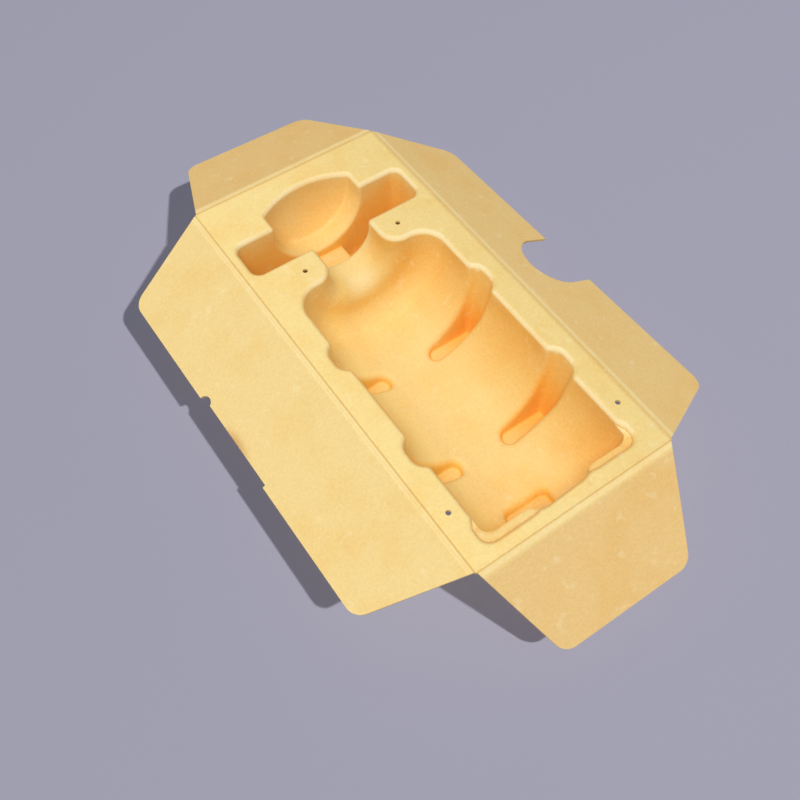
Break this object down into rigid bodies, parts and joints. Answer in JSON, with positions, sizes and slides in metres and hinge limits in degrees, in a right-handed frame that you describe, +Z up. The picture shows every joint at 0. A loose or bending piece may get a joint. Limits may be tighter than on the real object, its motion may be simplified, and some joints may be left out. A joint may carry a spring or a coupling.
{
  "type": "perfume bottle tray",
  "caption": "Moulded pulp insert tray with a lying bottle-shaped hollow, a cross finger trench, flared slot feet and sloping flaps on all sides.",
  "frame": {"origin": "under the middle of the tray's outline, at the level of its feet", "axes": "+Y along the bottle towards its cap, +X across the tray towards the notched flap, +Z up out of the hollow"},
  "size_m": [0.157, 0.2524, 0.0396],
  "materials": {
    "pulp_board": "matt, fine fibres"
  },
  "bodies": {
    "root": {"tray": "pulp_board"}
  },
  "joints": []
}
